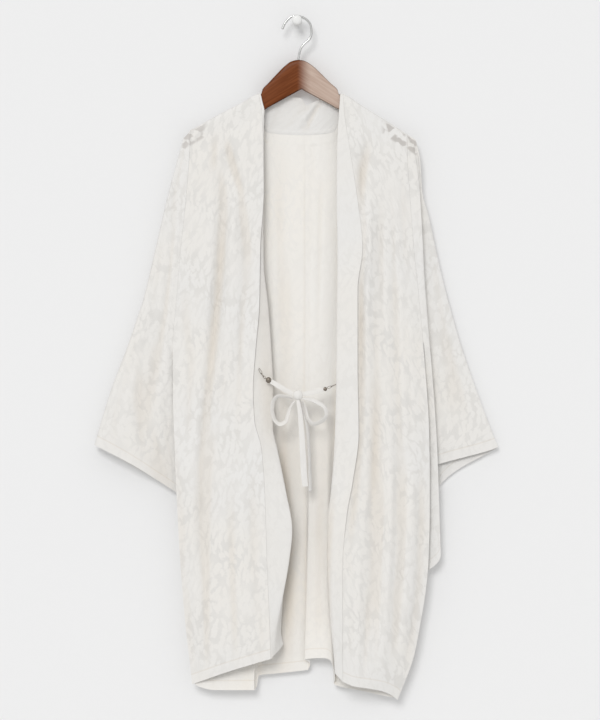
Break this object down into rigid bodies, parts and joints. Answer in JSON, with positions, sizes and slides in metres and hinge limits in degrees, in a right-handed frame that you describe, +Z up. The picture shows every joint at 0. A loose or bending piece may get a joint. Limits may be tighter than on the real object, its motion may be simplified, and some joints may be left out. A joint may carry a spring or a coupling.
{
  "type": "haori on a hanger",
  "caption": "Open-fronted kimono jacket with wide sleeves and a tied cord, hung on a wooden hanger whose hook rests on a round wall peg",
  "frame": {"origin": "centre of the wall peg's flat back face, on the wall plane", "axes": "+Z up, -Y out of the wall towards the viewer, +X to the viewer's right"},
  "size_m": [0.6697, 0.0632, 1.1327],
  "materials": {
    "cloth": "ivory jacquard, slightly sheer, soft sheen",
    "wood": "red-brown, satin varnish",
    "steel": "bright wire",
    "dark_metal": "blackened metal clasps",
    "white_paint": "white satin paint"
  },
  "bodies": {
    "root": {"front_right": "cloth", "front_left": "cloth", "back_right": "cloth", "back_left": "cloth", "collar_right": "cloth", "collar_left": "cloth", "collar_back": "cloth", "sleeve_right": "cloth", "sleeve_left": "cloth", "tie_strap_right": "cloth", "tie_strap_left": "cloth", "tie_loop_right": "cloth", "tie_loop_left": "cloth", "tie_tail_right": "cloth", "tie_tail_left": "cloth", "tie_knot": "cloth", "tie_bead_right": "dark_metal", "tie_bead_left": "dark_metal", "tie_link_right_1": "dark_metal", "tie_link_right_2": "dark_metal", "tie_link_right_3": "dark_metal", "tie_link_left_1": "dark_metal", "tie_link_left_2": "dark_metal", "hanger_wood": "wood", "hanger_hook": "steel", "wall_peg": "white_paint"}
  },
  "joints": []
}
